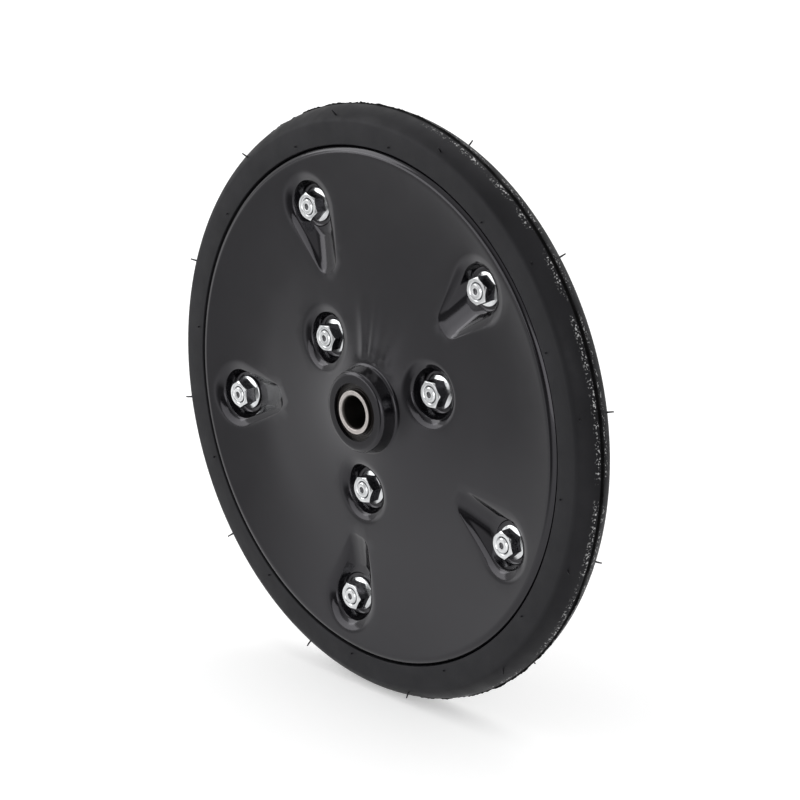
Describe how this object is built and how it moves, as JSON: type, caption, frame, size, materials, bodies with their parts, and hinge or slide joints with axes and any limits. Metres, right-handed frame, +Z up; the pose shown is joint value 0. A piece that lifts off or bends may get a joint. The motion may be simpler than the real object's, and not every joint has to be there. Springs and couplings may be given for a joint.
{
  "type": "planter press wheel",
  "caption": "Narrow rubber-tyred press wheel with two pressed steel halves bolted back to back round a sealed ball-bearing hub, turning on a fixed axle bolt.",
  "frame": {"origin": "centre of the wheel, on the axle's axis and the tyre's middle plane", "axes": "+Y along the axle, out of the rear face where the bolt heads are; the nuts face -Y; +Z up"},
  "size_m": [0.3048, 0.0442, 0.3048],
  "materials": {
    "tyre_rubber": "matt moulded black rubber",
    "black_paint": "gloss black paint on pressed steel",
    "zinc_plate": "bright zinc plate",
    "bearing_steel": "ground bearing steel",
    "seal_rubber": "dark brown nitrile rubber",
    "cage_plastic": "moulded nylon",
    "spacer_steel": "turned steel tube"
  },
  "bodies": {
    "axle_stack": {"front_inner_ring": "bearing_steel", "inner_spacer": "spacer_steel", "rear_inner_ring": "bearing_steel"},
    "wheel": {"tyre": "tyre_rubber", "front_half": "black_paint", "rear_half": "black_paint", "rim_bolt_1": "zinc_plate", "rim_bolt_2": "zinc_plate", "rim_bolt_3": "zinc_plate", "rim_bolt_4": "zinc_plate", "rim_bolt_5": "zinc_plate", "rim_nut_1": "zinc_plate", "rim_nut_2": "zinc_plate", "rim_nut_3": "zinc_plate", "rim_nut_4": "zinc_plate", "rim_nut_5": "zinc_plate", "hub_bolt_1": "zinc_plate", "hub_bolt_2": "zinc_plate", "hub_bolt_3": "zinc_plate", "hub_nut_1": "zinc_plate", "hub_nut_2": "zinc_plate", "hub_nut_3": "zinc_plate", "front_outer_ring": "bearing_steel", "rear_outer_ring": "bearing_steel", "front_outer_seal": "seal_rubber", "front_inner_seal": "seal_rubber", "rear_outer_seal": "seal_rubber", "rear_inner_seal": "seal_rubber", "outer_spacer": "spacer_steel"},
    "front_ball_set": {"front_cage": "cage_plastic", "front_ball_1": "bearing_steel", "front_ball_2": "bearing_steel", "front_ball_3": "bearing_steel", "front_ball_4": "bearing_steel", "front_ball_5": "bearing_steel", "front_ball_6": "bearing_steel", "front_ball_7": "bearing_steel", "front_ball_8": "bearing_steel"},
    "rear_ball_set": {"rear_cage": "cage_plastic", "rear_ball_1": "bearing_steel", "rear_ball_2": "bearing_steel", "rear_ball_3": "bearing_steel", "rear_ball_4": "bearing_steel", "rear_ball_5": "bearing_steel", "rear_ball_6": "bearing_steel", "rear_ball_7": "bearing_steel", "rear_ball_8": "bearing_steel"}
  },
  "joints": [
    {"name": "wheel_spin", "type": "hinge", "parent": "axle_stack", "child": "wheel", "pos_m": [0, 0, 0], "axis": [0, 1, 0], "continuous": true},
    {"name": "front_cage_orbit", "type": "hinge", "parent": "axle_stack", "child": "front_ball_set", "pos_m": [0, -0.0137, 0], "axis": [0, 1, 0], "continuous": true},
    {"name": "rear_cage_orbit", "type": "hinge", "parent": "axle_stack", "child": "rear_ball_set", "pos_m": [0, 0.0137, 0], "axis": [0, 1, 0], "continuous": true}
  ],
  "couplings": [
    {"joint": "front_cage_orbit", "follows": "wheel_spin", "ratio": 0.61842},
    {"joint": "rear_cage_orbit", "follows": "wheel_spin", "ratio": 0.61842}
  ]
}
